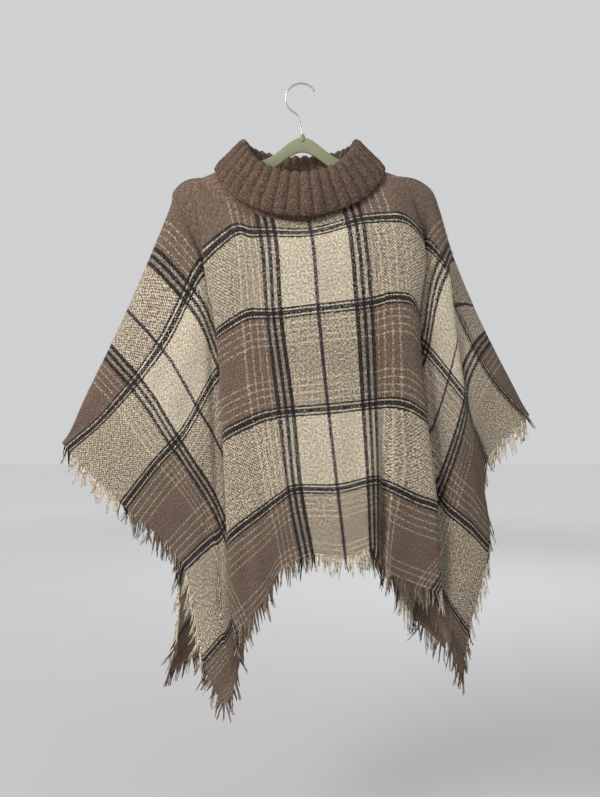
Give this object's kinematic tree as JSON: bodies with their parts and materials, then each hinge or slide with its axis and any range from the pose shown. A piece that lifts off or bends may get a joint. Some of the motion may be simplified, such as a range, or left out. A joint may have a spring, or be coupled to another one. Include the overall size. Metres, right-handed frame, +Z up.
{
  "type": "plaid poncho on a clothes hanger",
  "caption": "Square wool poncho in a woven plaid with a ribbed roll collar and fringed edges, hung in folds from a flat clothes hanger with a wire hook.",
  "frame": {"origin": "where the hook hangs: the top of the wire loop, in the middle of the hanger's thickness", "axes": "+Z up, +X to the viewer's right in the front view, -Y out of the garment's front"},
  "size_m": [0.7932, 0.1334, 1.071],
  "materials": {
    "plaid_cloth": "matte woven wool with a looped nap",
    "brown_knit": "matte ribbed wool knit",
    "fringe_yarn": "matte loose yarn",
    "hanger_sage": "satin, muted green",
    "hook_wire": "bright plated wire"
  },
  "bodies": {
    "root": {"front_panel": "plaid_cloth", "back_panel": "plaid_cloth", "neck_band": "brown_knit", "collar": "brown_knit", "front_hem_fringe": "fringe_yarn", "front_left_fringe": "fringe_yarn", "front_right_fringe": "fringe_yarn", "back_hem_fringe": "fringe_yarn", "back_left_fringe": "fringe_yarn", "back_right_fringe": "fringe_yarn", "hanger_body": "hanger_sage", "hanger_hook": "hook_wire"}
  },
  "joints": []
}
